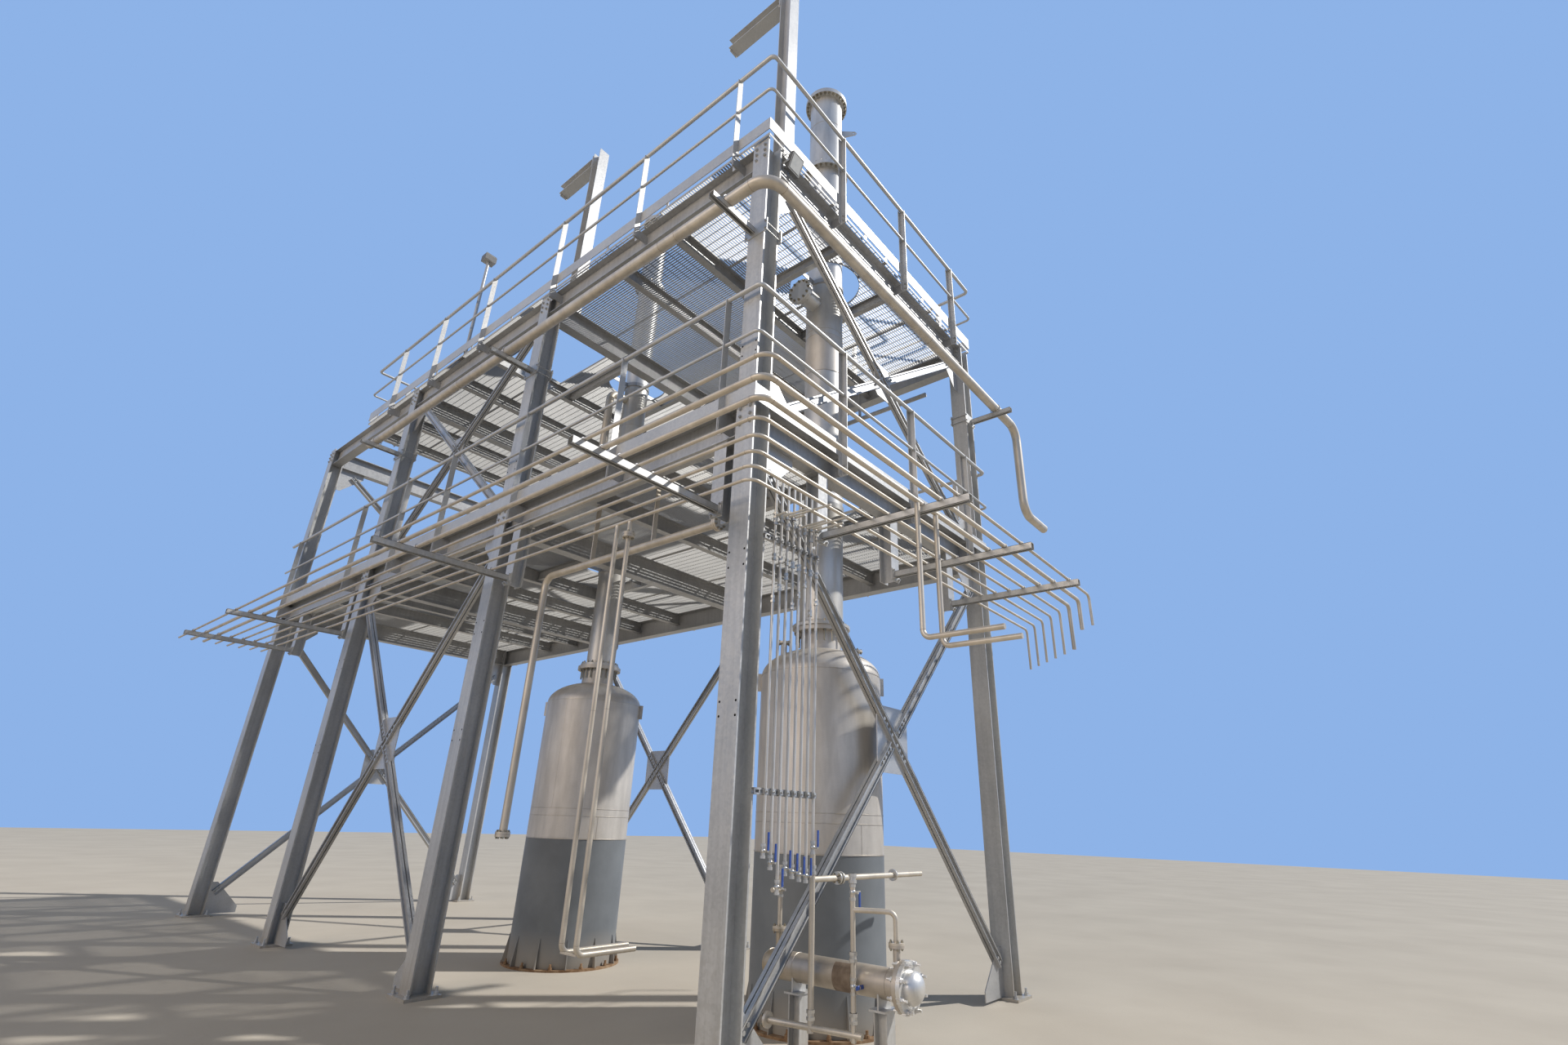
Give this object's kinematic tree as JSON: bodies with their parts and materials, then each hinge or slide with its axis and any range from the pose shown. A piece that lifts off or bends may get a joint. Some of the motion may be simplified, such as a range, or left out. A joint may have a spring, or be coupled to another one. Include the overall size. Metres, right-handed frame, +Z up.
{
  "type": "distillation column",
  "caption": "Pot stills with tall columns inside a galvanised steel frame with grating decks, guardrails, cross bracing and a bank of pipes.",
  "frame": {"origin": "on the ground, at the centre of the base plate of the corner column nearest the camera", "axes": "+Z up; +X along the short face, away from that column; +Y along the long face"},
  "size_m": [7.0693, 12.775, 11.1883],
  "materials": {
    "galvanised": "dull galvanised with spangle",
    "grating": "galvanised bar grating",
    "stainless_shell": "dull stainless with weld seams",
    "stainless_pipe": "pickled stainless",
    "skirt_paint": "grey-blue paint",
    "rusted_ring": "bare rusted steel",
    "blue_lever": "stainless bodies with blue sleeved levers",
    "dark_steel": "weathered grey"
  },
  "bodies": {
    "root": {"base_plates": "galvanised", "columns_near": "galvanised", "columns_far": "galvanised", "mid_beams": "galvanised", "mid_joists": "galvanised", "mid_grating": "grating", "mid_toe": "galvanised", "mid_rails_across": "galvanised", "mid_rails_along": "galvanised", "top_beams": "galvanised", "top_joists": "galvanised", "top_grating": "grating", "top_toe": "galvanised", "top_rails_across": "galvanised", "top_rails_along": "galvanised", "shaft_guides": "stainless_shell", "braces_short": "galvanised", "braces_near": "galvanised", "braces_far": "galvanised", "braces_end": "galvanised", "bank_hangers": "galvanised", "bank_arms": "galvanised", "bank_long": "stainless_pipe", "bank_short": "stainless_pipe", "risers": "stainless_pipe", "drop_pipes": "stainless_pipe", "low_pipe": "stainless_pipe", "main_arms": "galvanised", "main_pipe_long": "stainless_pipe", "main_pipe_short": "stainless_pipe", "lifting_posts": "galvanised", "lamp_post": "dark_steel", "hoist_rail": "dark_steel", "pot_rings": "rusted_ring", "pot_1_skirt": "skirt_paint", "pot_1_shell": "stainless_shell", "pot_1_head": "stainless_shell", "shaft_1_low": "stainless_shell", "shaft_1_top": "stainless_shell", "pot_2_skirt": "skirt_paint", "pot_2_shell": "stainless_shell", "pot_2_head": "stainless_shell", "shaft_2_low": "stainless_shell", "shaft_2_top": "stainless_shell", "shaft_covers": "stainless_shell", "still_riser": "stainless_pipe", "tube_strips": "galvanised", "utility_tubes": "stainless_pipe", "tube_valves": "blue_lever", "exchanger_shell": "stainless_pipe", "exchanger_head": "dark_steel", "exchanger_legs": "galvanised", "exchanger_pipes": "stainless_pipe"}
  },
  "joints": []
}
